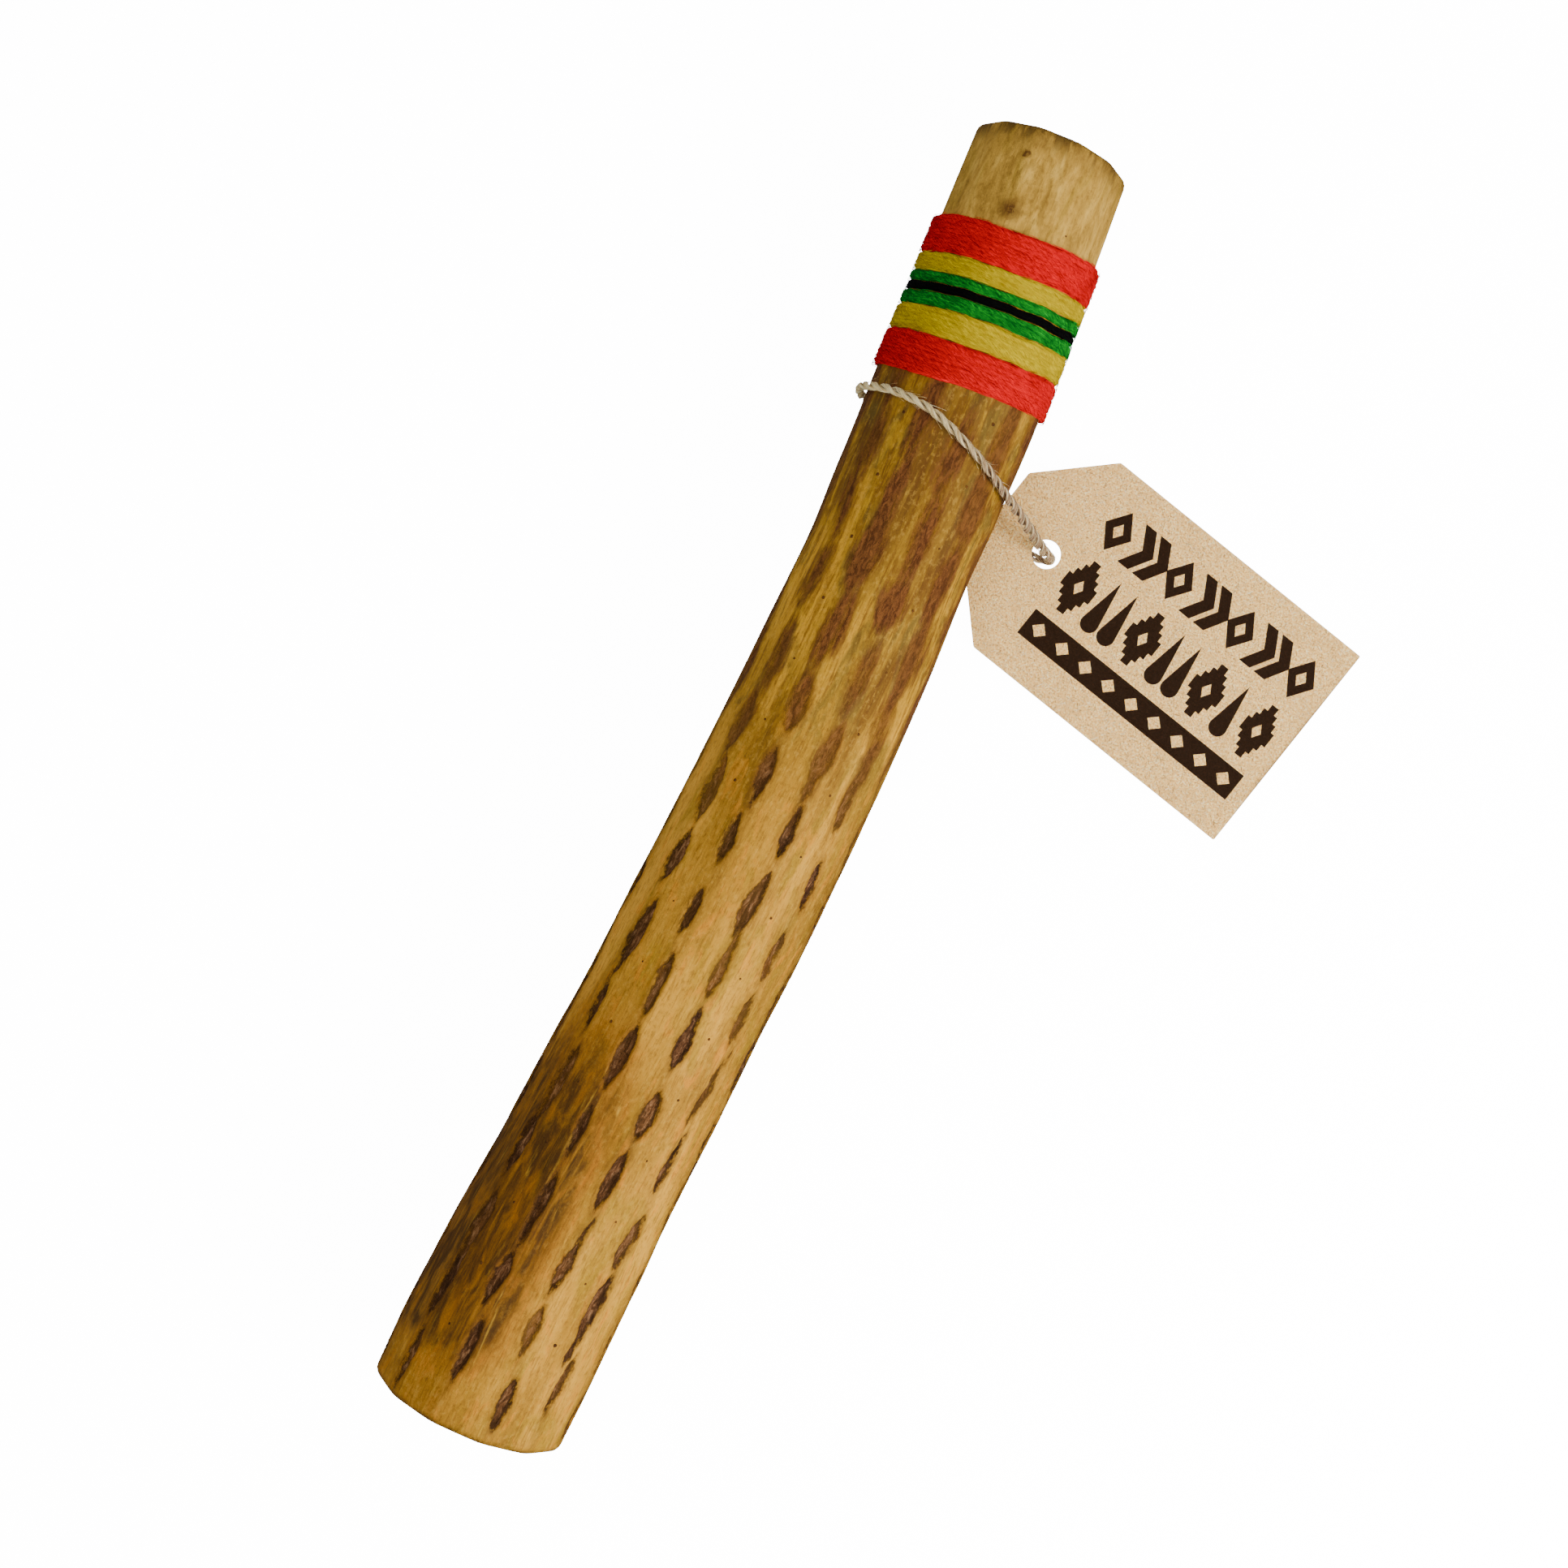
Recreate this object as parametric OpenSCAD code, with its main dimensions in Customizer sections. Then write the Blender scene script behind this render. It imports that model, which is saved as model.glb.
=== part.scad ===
// Rainstick: a tapering, gently bowed tube of cactus wood, closed by a glued plug at each end.
// Thorns cross its bore in straight rows, and pebbles run along the bore between two of the rows.
// A band of coloured yarn is wound round it, and a card tag hangs on a loop of jute twine.
// The stick lies on its side on z = 0, on its wide end and on the yarn, with its narrow end at +X.

/* [Stick] */
// Overall length of the stick
stick_length = 508; // [500:1:520]
// Mean radius at the wide end
wide_radius = 37.4; // [37:0.1:38]
// Mean radius at the narrow end
narrow_radius = 29; // [28.5:0.1:29.5]
// How far the middle bows sideways
bow_depth = 8.7; // [8:0.1:9.4]
// How much of the bow is drawn toward the narrow end
bow_lean = 0.45; // [0:0.05:0.6]
// Thickness of the wood
wall = 7; // [6.5:0.1:7.5]
// Number of ribs along the wood
ribs = 12; // [12]
// Height of a rib over the groove beside it
rib_depth = 2; // [1.8:0.1:2.2]
// Rounding of the two rims
rim_round = 3; // [2:0.5:3.5]
// Slant of the cut at the wide end, in degrees
wide_cut = 0.8; // [0:0.1:3]
// Slant of the cut at the narrow end, in degrees
narrow_cut = 3; // [2:0.5:5]

/* [End plugs] */
// Thickness of each plug
plug_thickness = 9; // [7:0.5:9]
// Radius of the seat reamed for the wide plug
wide_seat = 30.6; // [30.4:0.1:31]
// Radius of the seat reamed for the narrow plug
narrow_seat = 22.4; // [22.2:0.1:22.8]
// Thickness of the glue round a plug
glue_film = 0.5; // [0.3:0.1:0.8]

/* [Thorns] */
// Rows of thorns round the bore
thorn_rows = 6; // [6]
// Thorns in each row
thorns_in_row = 19; // [10:1:19]
// Distance from a thorn to the next in its row
thorn_pitch = 24; // [20:1:24]
// Radius of a thorn at the outside
thorn_radius = 0.8; // [0.6:0.1:0.9]
// Distance of a thorn's tip from the middle of the bore
thorn_tip_gap = 8; // [8:0.5:10]

/* [Pebbles] */
// Pebbles in each lane
pebbles_in_lane = 15; // [8:1:15]
// Radius of the largest pebble
pebble_radius = 1.8; // [1.5:0.1:1.8]

/* [Yarn] */
// How far the yarn stands proud of the wood
yarn_proud = 3; // [2.8:0.1:3.2]
// Distance from the narrow end to the band
yarn_start = 36; // [34:1:37]
// Turn of the windings about the upright, beyond that of the wood's cuts, in degrees
yarn_turn = 3; // [0:0.5:4]
// Lean of the windings along the stick, in degrees
yarn_lean = 8; // [0:1:9]

/* [Tag] */
// Length of the tag
tag_length = 143; // [130:1:145]
// Width of the tag
tag_width = 90; // [80:1:92]
// Size of the two cut corners
tag_chamfer = 25; // [20:1:26]
// Thickness of the card
card = 0.8; // [0.6:0.1:0.9]
// Radius of the punched hole
tag_hole = 5.6; // [5.4:0.1:5.8]
// Distance from the near edge to the hole
tag_hole_inset = 24.6; // [24:0.1:25]

/* [Twine] */
// Diameter of the twine
twine_diameter = 2.4; // [2:0.1:2.4]
// Radius of the knot
knot_radius = 3; // [2.6:0.1:3]

/* [Hidden] */

round_fn = 96;
small_fn = 24;
points_per_rib = 4;
outline_points = ribs * points_per_rib;
stations = 16;
crest_angle = 180 / ribs;
// Share of a rib's height that stands over the mean radius
crest_share = 0.45;

// The stick's own frame: its chord lies along X and the ends' centres are on the chord.
wide_x = -stick_length / 2 + wide_radius * tan(wide_cut);
narrow_x = stick_length / 2 - narrow_radius * tan(narrow_cut);
taper = (narrow_radius - wide_radius) / (narrow_x - wide_x);

function mean_radius(x) = wide_radius + taper * (x - wide_x);
function crest_radius(x) = mean_radius(x) + rib_depth * crest_share;
function groove_radius(x) = crest_radius(x) - rib_depth;
function bore_radius(x) = mean_radius(x) - wall;
// Share of the bow that is taken away toward both ends
bow_flat = 0.5;
function bow(x) =
    let (t = 2 * x / stick_length) -bow_depth * (1 - t * t) * (1 + bow_lean * t - bow_flat * t * t);
function cut_angle(x) = wide_cut + (narrow_cut - wide_cut) * (x - wide_x) / (narrow_x - wide_x);
function rib_offset(angle) =
    rib_depth * (crest_share - abs(sin(ribs / 2 * (angle - crest_angle))));

// Outline of the ribbed wood across the stick, grown by extra
function ribbed_outline(radius, extra) = [
    for (i = [0 : outline_points - 1])
        let (a = i * 360 / outline_points, r = radius + extra + rib_offset(a))
            [r * cos(a), r * sin(a)]
];

// Outline of the smooth bore across the stick, with as many points as the wood's
function bore_outline(radius) = [
    for (i = [0 : outline_points - 1])
        let (a = i * 360 / outline_points) [radius * cos(a), radius * sin(a)]
];

// Moves a flat outline to the station x, square to the wood's cut there
function at_x(outline, x) = [
    for (p = outline)
        [x - p[0] * sin(cut_angle(x)), bow(x) + p[0] * cos(cut_angle(x)), p[1]]
];

// The seven windings of the band, from the narrow end on; the two reds stand a little prouder.
yarn_widths = [14.5, 7, 4, 3.5, 5.5, 10, 14.5];
red_extra = 0.2;
function before(i) = i == 0 ? 0 : yarn_widths[i - 1] + before(i - 1);
function yarn_end(i) = stick_length / 2 - yarn_start - before(i);
function yarn_foot(i) = yarn_end(i) - yarn_widths[i];
last_yarn = len(yarn_widths) - 1;
function yarn_outer(i) = yarn_proud + (i == 0 || i == last_yarn ? red_extra : 0);

// A ring round the wood, wound with the yarn's own turn and lean, for the station x
function wound_ring(x, extra) = [
    for (i = [0 : outline_points - 1])
        let (
            a = i * 360 / outline_points,
            here = x - mean_radius(x) * (sin(yarn_turn) * cos(a) + tan(yarn_lean) * sin(a)),
            r = mean_radius(here) + extra + rib_offset(a),
            c = cut_angle(here)
        )
        [here - r * cos(a) * sin(c), bow(here) + r * cos(a) * cos(c), r * sin(a)]
];

// How the stick lies: on two ribs at its wide end and on the lower red yarn
wide_foot_x = wide_x + rim_round;
wide_foot_z = -crest_radius(wide_foot_x) * cos(crest_angle);
yarn_foot_x = yarn_foot(last_yarn) + mean_radius(yarn_foot(last_yarn)) * tan(yarn_lean);
yarn_foot_z = -(crest_radius(yarn_foot_x) + yarn_outer(last_yarn)) * cos(crest_angle);
lie_slope = atan((yarn_foot_z - wide_foot_z) / (yarn_foot_x - wide_foot_x));
chord_height = -wide_foot_z * cos(lie_slope) + wide_foot_x * sin(lie_slope);
chord_y = 2.3;

module in_stick_frame() {
    translate([0, chord_y, chord_height]) rotate([0, lie_slope, 0]) children();
}

// Stands a flat shape at the station x and lets it grow toward +X
module at_station(x) {
    translate([x, bow(x), 0]) rotate([0, 0, cut_angle(x)]) rotate([90, 0, 90]) children();
}

// Closed loft through rings of equal size; the last ring joins the first.
module ring_loft(rings) {
    count = len(rings[0]);
    polyhedron(
        points = [for (ring = rings) each ring],
        faces = [
            for (i = [0 : len(rings) - 1], j = [0 : count - 1], half = [0, 1])
                let (
                    a = i * count,
                    b = ((i + 1) % len(rings)) * count,
                    k = (j + 1) % count
                )
                half == 0 ? [a + j, b + j, b + k] : [a + j, b + k, a + k]
        ],
        convexity = 6
    );
}

// The wood: outside rings from the wide rim to the narrow rim, then the bore's rings back.
module cactus_tube() {
    soft = rim_round * (1 - cos(45));
    first = wide_x + rim_round;
    last = narrow_x - rim_round;
    outside = [for (i = [0 : stations]) first + (last - first) * i / stations];
    rings = concat(
        [at_x(ribbed_outline(mean_radius(wide_x), -rim_round), wide_x)],
        [at_x(ribbed_outline(mean_radius(wide_x), -soft), wide_x + soft)],
        [for (x = outside) at_x(ribbed_outline(mean_radius(x), 0), x)],
        [at_x(ribbed_outline(mean_radius(narrow_x), -soft), narrow_x - soft)],
        [at_x(ribbed_outline(mean_radius(narrow_x), -rim_round), narrow_x)],
        [at_x(bore_outline(bore_radius(narrow_x)), narrow_x)],
        [for (i = [stations : -1 : 0]) at_x(bore_outline(bore_radius(outside[i])), outside[i])],
        [at_x(bore_outline(bore_radius(wide_x)), wide_x)]
    );
    color("peru") in_stick_frame() difference() {
        ring_loft(rings);
        plug_space(wide_x, wide_seat, 1);
        plug_space(narrow_x, narrow_seat, -1);
    }
}

// The space that a plug and its glue fill, from the end face inward; side is 1 at the wide end
module plug_space(end_x, radius, side) {
    at_station(end_x) translate([0, 0, side > 0 ? -1 : -plug_thickness])
        cylinder(h = plug_thickness + 1, r = radius, $fn = round_fn);
}

// A turned disc of wood that closes one end
module plug(end_x, radius, side) {
    color("burlywood") in_stick_frame() at_station(end_x)
        translate([0, 0, side > 0 ? 0 : -plug_thickness])
            cylinder(h = plug_thickness, r = radius - glue_film, $fn = round_fn);
}

// The film of glue between a plug and its seat
module glue(end_x, radius, side) {
    color("wheat") in_stick_frame() at_station(end_x)
        translate([0, 0, side > 0 ? 0 : -plug_thickness]) difference() {
            cylinder(h = plug_thickness, r = radius, $fn = round_fn);
            translate([0, 0, -1])
                cylinder(h = plug_thickness + 2, r = radius - glue_film, $fn = round_fn);
        }
}

module wide_end_plug() plug(wide_x, wide_seat, 1);
module narrow_end_plug() plug(narrow_x, narrow_seat, -1);
module wide_end_glue() glue(wide_x, wide_seat, 1);
module narrow_end_glue() glue(narrow_x, narrow_seat, -1);

// One row of thorns, pushed in from the bottom of a groove toward the middle of the bore
first_thorn_x = -228;
thorn_tip = 0.25;
thorn_sunk = 0.2;
module thorn_row(row) {
    angle = row * 360 / thorn_rows;
    shift = (row % 3) * thorn_pitch / 3;
    color("saddlebrown") in_stick_frame() for (i = [0 : thorns_in_row - 1]) {
        x = first_thorn_x + shift + i * thorn_pitch;
        outer = groove_radius(x) - thorn_sunk;
        at_station(x) rotate([0, 0, angle]) translate([thorn_tip_gap, 0, 0]) rotate([0, 90, 0])
            cylinder(h = outer - thorn_tip_gap, r1 = thorn_tip, r2 = thorn_radius, $fn = small_fn);
    }
}

module thorn_row_1() thorn_row(0);
module thorn_row_2() thorn_row(1);
module thorn_row_3() thorn_row(2);
module thorn_row_4() thorn_row(3);
module thorn_row_5() thorn_row(4);
module thorn_row_6() thorn_row(5);

// One winding of the band. It follows the ribs, a hair clear of the wood.
yarn_gap = 0.15;
module yarn(i, shade) {
    foot = yarn_foot(i);
    end = yarn_end(i);
    color(shade) in_stick_frame() ring_loft([
        wound_ring(foot, yarn_outer(i)),
        wound_ring(end, yarn_outer(i)),
        wound_ring(end, yarn_gap),
        wound_ring(foot, yarn_gap)
    ]);
}

module yarn_red_upper() yarn(0, "red");
module yarn_yellow_upper() yarn(1, "gold");
module yarn_green_upper() yarn(2, "green");
module yarn_black() yarn(3, "black");
module yarn_green_lower() yarn(4, "green");
module yarn_yellow_lower() yarn(5, "gold");
module yarn_red_lower() yarn(6, "red");

// Pebbles lie one behind the other on the bottom of the bore, and run along straight lanes
// between the two lowest rows of thorns. Each lane has its own height and its own rise.
lane_start_x = -240;
lane_pitch = 3.9;
lane_middle_y = -4.2;
// The pebbles come in a few sizes, taken in an order that looks mixed.
pebble_sizes = 4;
size_stride = 7;
smallest_pebble = pebble_radius - 0.3;
module pebble_lane(offset_y, start_z, rise) {
    color("dimgray") in_stick_frame() for (i = [0 : pebbles_in_lane - 1]) {
        x = lane_start_x + i * lane_pitch;
        share = (i * size_stride % pebble_sizes) / (pebble_sizes - 1);
        radius = pebble_radius + (smallest_pebble - pebble_radius) * share;
        translate([x, lane_middle_y + offset_y, start_z + rise * (x - lane_start_x)])
            sphere(r = radius, $fn = small_fn);
    }
}

module pebbles_left() pebble_lane(4, -27.7, 0.0228);
module pebbles_middle() pebble_lane(0, -27.65, 0.0174);
module pebbles_right() pebble_lane(-4, -26.8, 0.0166);

// Twine: up round the far side of the stick, over it, down through the tag's hole, and back
// under the tag and the stick. It starts and ends in the knot.
twine_sides = 8;
twine_spacing = 2.6;
twine_route = [
    [129, -24, 2], [132, -18, 1.6], [137, -10, 1.4], [141, -1, 1.4], [143, 6, 1.8],
    [144, 13, 4.8], [145, 19, 9.2], [145, 25, 16.6], [145, 29, 26], [145, 30, 35],
    [145, 28.6, 44], [145, 24, 53], [145, 17, 60.6], [144, 8, 66], [142, -1, 68],
    [139, -10, 67.6], [136, -18.5, 64.6], [133, -26.2, 59.9], [130, -33.4, 52.8], [128, -40, 43.6],
    [126, -46.4, 34], [124, -52.4, 24.5], [122.6, -57.2, 16.2], [121.8, -61.1, 11.1],
    [121.4, -62, 7.1], [121.2, -61.2, 4.2], [121, -59.3, 2.3], [120.9, -56.4, 1.4],
    [121.8, -51.6, 1.4], [122.7, -45.6, 1.4], [123.7, -38.6, 1.4], [124.8, -32, 1.6], [126, -27.6, 2.1]
];
knot_centre = [127.4, -25.6, 3];

// Points of a smooth curve through the route, close enough together for the loft
function spline(a, b, c, d, t) =
    0.5 * (2 * b + (c - a) * t + (2 * a - 5 * b + 4 * c - d) * t * t
        + (3 * b - a - 3 * c + d) * t * t * t);
function route_point(route, i) = route[max(0, min(len(route) - 1, i))];
function smooth_route(route, spacing) = [
    for (i = [0 : len(route) - 2])
        let (
            a = route_point(route, i - 1),
            b = route[i],
            c = route[i + 1],
            d = route_point(route, i + 2),
            steps = max(1, round(norm(c - b) / spacing))
        )
        for (s = [0 : steps - 1]) spline(a, b, c, d, s / steps),
    route[len(route) - 1]
];
function unit(v) = v / norm(v);
function heading(path, i) =
    unit(path[min(len(path) - 1, i + 1)] - path[max(0, i - 1)]);

// Side vectors carried from ring to ring, so that the tube doesn't twist
function carried(path, i, side) =
    let (t = heading(path, i), s = unit(side - (side * t) * t))
    i == len(path) - 1 ? [s] : concat([s], carried(path, i + 1, s));

module sweep(path, radius, sides) {
    side = carried(path, 0, [0, 0, 1]);
    rings = [
        for (i = [0 : len(path) - 1])
            let (t = heading(path, i), u = side[i], v = cross(t, u))
            [
                for (k = [0 : sides - 1])
                    path[i] + radius * (cos(k * 360 / sides) * u + sin(k * 360 / sides) * v)
            ]
    ];
    last = (len(path) - 1) * sides;
    polyhedron(
        points = [for (ring = rings) each ring],
        faces = concat(
            [[for (k = [0 : sides - 1]) k]],
            [
                for (i = [0 : len(path) - 2], j = [0 : sides - 1], half = [0, 1])
                    let (a = i * sides, b = a + sides, k = (j + 1) % sides)
                    half == 0 ? [a + j, b + j, b + k] : [a + j, b + k, a + k]
            ],
            [[for (k = [sides - 1 : -1 : 0]) last + k]]
        ),
        convexity = 6
    );
}

module twine() {
    color("tan")
        sweep(smooth_route(twine_route, twine_spacing * twine_diameter), twine_diameter / 2, twine_sides);
}

// Where the two ends of the loop are tied
module twine_knot() {
    color("burlywood") translate(knot_centre) sphere(r = knot_radius, $fn = small_fn);
}

// The tag lies beside the stick, with the twine under its near edge and its far edge down.
tag_hole_at = [123.5, -59.9, 3.1];
tag_turn = -103.7;
tag_tilt = 1.3;
module tag() {
    near = -tag_hole_inset;
    far = near + tag_length;
    half = tag_width / 2;
    color("tan") translate(tag_hole_at) rotate([0, 0, tag_turn]) rotate([0, tag_tilt, 0])
        linear_extrude(card) difference() {
            polygon([
                [near, tag_chamfer - half], [near + tag_chamfer, -half], [far, -half],
                [far, half], [near + tag_chamfer, half], [near, half - tag_chamfer]
            ]);
            circle(r = tag_hole, $fn = round_fn);
        }
}

cactus_tube();
wide_end_plug();
narrow_end_plug();
wide_end_glue();
narrow_end_glue();
thorn_row_1();
thorn_row_2();
thorn_row_3();
thorn_row_4();
thorn_row_5();
thorn_row_6();
yarn_red_upper();
yarn_yellow_upper();
yarn_green_upper();
yarn_black();
yarn_green_lower();
yarn_yellow_lower();
yarn_red_lower();
pebbles_left();
pebbles_middle();
pebbles_right();
twine();
twine_knot();
tag();
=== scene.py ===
"""Looks of the rainstick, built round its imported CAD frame.

Everything is in metres and in the row frame. A point of the stick is given by its station x along
the chord, its angle round the stick (0 is +Y, 90 degrees is up) and its radius, as the CAD does.
"""

import math
from collections import namedtuple

import bpy
import numpy as np
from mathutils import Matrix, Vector, geometry, noise


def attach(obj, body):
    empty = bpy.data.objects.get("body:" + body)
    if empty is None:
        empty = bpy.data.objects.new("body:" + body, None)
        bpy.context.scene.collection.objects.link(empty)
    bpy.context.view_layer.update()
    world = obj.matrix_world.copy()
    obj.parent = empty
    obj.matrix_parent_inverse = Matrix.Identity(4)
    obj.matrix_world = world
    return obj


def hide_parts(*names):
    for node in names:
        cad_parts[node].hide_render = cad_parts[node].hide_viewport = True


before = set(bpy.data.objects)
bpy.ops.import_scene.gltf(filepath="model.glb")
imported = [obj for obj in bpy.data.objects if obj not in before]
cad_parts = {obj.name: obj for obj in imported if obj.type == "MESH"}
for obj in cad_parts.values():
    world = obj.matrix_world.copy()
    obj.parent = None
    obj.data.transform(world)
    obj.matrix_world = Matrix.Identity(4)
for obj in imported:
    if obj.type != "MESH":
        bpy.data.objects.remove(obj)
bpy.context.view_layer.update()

MM = 0.001
DEG = math.pi / 180
TURN = 2 * math.pi
FLOOR_GAP = 0.02 * MM


def add_object(name, data):
    made = bpy.data.objects.new(name, data)
    bpy.context.scene.collection.objects.link(made)
    return made


# ---- camera and light
camera = add_object("camera", bpy.data.cameras.new("camera"))
camera.location = (0.0017, -0.0062, 0.826)
camera.rotation_euler = (0, 0, -65 * DEG)
camera.data.lens = 49.45
camera.data.sensor_width = 36
camera.data.clip_start = 0.01
bpy.context.scene.camera = camera

LIGHTS = (
    # name, place, size, power, colour
    ("key", (-0.15, -1.15, 0.80), 0.6, 31, (1.0, 0.98, 0.94)),
    ("top", (-0.1, 0.25, 1.5), 1.2, 17, (1.0, 0.99, 0.96)),
)
for name, place, size, power, colour in LIGHTS:
    lamp = add_object(name, bpy.data.lights.new(name, "AREA"))
    lamp.location = place
    lamp.rotation_euler = (Vector((0, 0, 0.03)) - Vector(place)).to_track_quat("-Z", "Y").to_euler()
    lamp.data.shape = "DISK"
    lamp.data.size = size
    lamp.data.energy = power
    lamp.data.color = colour
world = bpy.data.worlds.new("studio")
world.use_nodes = True
background = world.node_tree.nodes["Background"].inputs
background["Color"].default_value = (1, 1, 1, 1)
background["Strength"].default_value = 0.4
bpy.context.scene.world = world


# ---- materials
class Graph:
    """A material's node tree, with short ways to add what the materials here use."""

    def __init__(self, name):
        self.material = bpy.data.materials.new(name)
        self.material.use_nodes = True
        self.tree = self.material.node_tree
        self.shader = self.tree.nodes["Principled BSDF"]

    def node(self, kind, inputs=None, **settings):
        made = self.tree.nodes.new("ShaderNode" + kind)
        for key, value in settings.items():
            setattr(made, key, value)
        for key, value in (inputs or {}).items():
            self.feed(made.inputs[key], value)
        return made

    def feed(self, socket, value):
        if isinstance(value, bpy.types.NodeSocket):
            self.tree.links.new(value, socket)
        else:
            socket.default_value = value

    def attribute(self, name, out="Fac"):
        return self.node("Attribute", attribute_name=name).outputs[out]

    def vector(self, operation, a, b=(0, 0, 0), out="Vector"):
        return self.node("VectorMath", {0: a, 1: b}, operation=operation).outputs[out]

    def scaled(self, vector, scale):
        return self.vector("MULTIPLY", vector, scale)

    def noise(self, vector, scale, detail=3.0, rough=0.55, warp=0.0):
        """Noise about 0.5; scale is one number, or one for each axis."""
        if isinstance(scale, tuple):
            vector, scale = self.scaled(vector, scale), 1.0
        made = self.node("TexNoise", {"Vector": vector, "Scale": scale, "Detail": detail,
                                      "Roughness": rough, "Distortion": warp})
        return made.outputs["Fac"]

    def math(self, operation, a, b=0.0, c=0.0):
        return self.node("Math", {0: a, 1: b, 2: c}, operation=operation).outputs[0]

    def times(self, a, b):
        return self.math("MULTIPLY", a, b)

    def plus(self, a, b):
        return self.math("ADD", a, b)

    def line(self, value, gain, start):
        """value * gain + start"""
        return self.math("MULTIPLY_ADD", value, gain, start)

    def ruffled(self, value, by, amount):
        """The value, moved up and down by a noise."""
        return self.line(self.math("SUBTRACT", by, 0.5), amount, value)

    def step(self, value, low, high):
        """0 below low, 1 above high, smooth between."""
        made = self.node("MapRange", {"Value": value, "From Min": low, "From Max": high},
                         interpolation_type="SMOOTHSTEP")
        return made.outputs["Result"]

    def mix(self, share, a, b):
        made = self.node("Mix", data_type="RGBA")
        self.feed(made.inputs["Factor"], share)
        self.feed(made.inputs["A"], colour4(a))
        self.feed(made.inputs["B"], colour4(b))
        return made.outputs["Result"]

    def tint(self, base, colour, value, low, high, amount):
        """The base with a colour laid over it by an amount, where the value goes from low to high."""
        return self.mix(self.times(self.step(value, low, high), amount), base, colour)

    def ramp(self, value, *stops):
        made = self.node("ValToRGB", {"Fac": value})
        band = made.color_ramp
        while len(band.elements) < len(stops):
            band.elements.new(0.5)
        for element, (place, colour) in zip(band.elements, stops):
            element.position = place
            element.color = colour4(colour)
        return made.outputs["Color"]

    def bump(self, height, strength, distance):
        made = self.node("Bump", {"Height": height, "Strength": strength, "Distance": distance})
        return made.outputs["Normal"]

    def object_place(self):
        return self.node("TexCoord").outputs["Object"]

    def finish(self, colour, rough, normal=None, **values):
        self.feed(self.shader.inputs["Base Color"], colour4(colour))
        self.feed(self.shader.inputs["Roughness"], rough)
        if normal is not None:
            self.feed(self.shader.inputs["Normal"], normal)
        for key, value in values.items():
            self.shader.inputs[key.replace("_", " ")].default_value = value
        return self.material


def colour4(value):
    """A display colour (0 to 1 each, as seen on a screen) as the linear one that a shader takes."""
    if isinstance(value, bpy.types.NodeSocket):
        return value
    return tuple(c / 12.92 if c <= 0.04045 else ((c + 0.055) / 1.055) ** 2.4 for c in value) + (1,)


# ---- meshes
def make_mesh(name, points, faces, material, smooth=True, **attributes):
    mesh = bpy.data.meshes.new(name)
    mesh.from_pydata(np.asarray(points).tolist(), [], [list(map(int, f)) for f in faces])
    for key, values in attributes.items():
        values = np.asarray(values, np.float32)
        kind, slot = ("FLOAT_VECTOR", "vector") if values.ndim == 2 else ("FLOAT", "value")
        mesh.attributes.new(key, kind, "POINT").data.foreach_set(slot, values.ravel())
    mesh.polygons.foreach_set("use_smooth", [smooth] * len(mesh.polygons))
    mesh.materials.append(material)
    mesh.update()
    return add_object(name, mesh)


def lattice(rows, columns, loop_rows=False):
    """Quads of a grid of points whose columns close into rings, and whose rows may close too."""
    i = np.arange(rows if loop_rows else rows - 1)[:, None]
    j = np.arange(columns)[None, :]
    a, b = i * columns, (i + 1) % rows * columns
    k = (j + 1) % columns
    return np.stack([a + j, b + j, b + k, a + k], -1).reshape(-1, 4)


def capped(rows, columns):
    """Faces of a tube, with one across each of its ends."""
    ends = [list(range(columns)), [(rows - 1) * columns + k for k in reversed(range(columns))]]
    return lattice(rows, columns).tolist() + ends


def circle(count):
    """Angles evenly round a circle."""
    return np.arange(count) * TURN / count


def polar(radius, angle):
    return radius * np.cos(angle), radius * np.sin(angle)


def turned(a, b, angle):
    c, s = math.cos(angle), math.sin(angle)
    return a * c - b * s, a * s + b * c


def ease(value, low, high):
    """0 at low, 1 at high, smooth between."""
    t = np.clip((value - low) / (high - low), 0, 1)
    return t * t * (3 - 2 * t)


def ripple(points, scale, seed=0.0):
    """Smooth noise from -1 to 1 at each point."""
    return np.array([noise.noise(Vector(p) * scale + Vector((seed, seed, seed))) for p in points])


def keep_above(points, height):
    points[:, 2] = np.maximum(points[:, 2], height)


class Parts:
    """Gathers rings and tubes into one mesh."""

    def __init__(self):
        self.points, self.faces, self.extra, self.count = [], [], {}, 0

    def add(self, points, faces, **extra):
        self.points.append(points)
        self.faces.extend((np.asarray(f) + self.count).tolist() for f in faces)
        for key, values in extra.items():
            values = np.broadcast_to(values, np.shape(values) or len(points))
            self.extra.setdefault(key, []).append(values)
        self.count += len(points)

    def build(self, name, material):
        extra = {key: np.concatenate(values) for key, values in self.extra.items()}
        return make_mesh(name, np.concatenate(self.points), self.faces, material, **extra)


def side_vectors(path, first=(0, 0, 1)):
    """Two unit vectors across the path at each point, carried along it without twisting."""
    steps = np.gradient(path, axis=0)
    tangents = steps / np.linalg.norm(steps, axis=1)[:, None]
    side, sides = np.array(first, float), []
    for t in tangents:
        side = side - side @ t * t
        side /= np.linalg.norm(side)
        sides.append(side)
    sides = np.array(sides)
    return sides, np.cross(tangents, sides)


def round_from(u, v, angle):
    """The unit vector at an angle round from u towards v."""
    return np.cos(angle)[..., None] * u + np.sin(angle)[..., None] * v


def wander(lengths, scale, b, c):
    """Smooth noise along a line, from -1 to 1."""
    return np.array([noise.noise(Vector((s * scale, b, c))) for s in lengths])


def columns(*values):
    return np.stack(values, -1)


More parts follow.
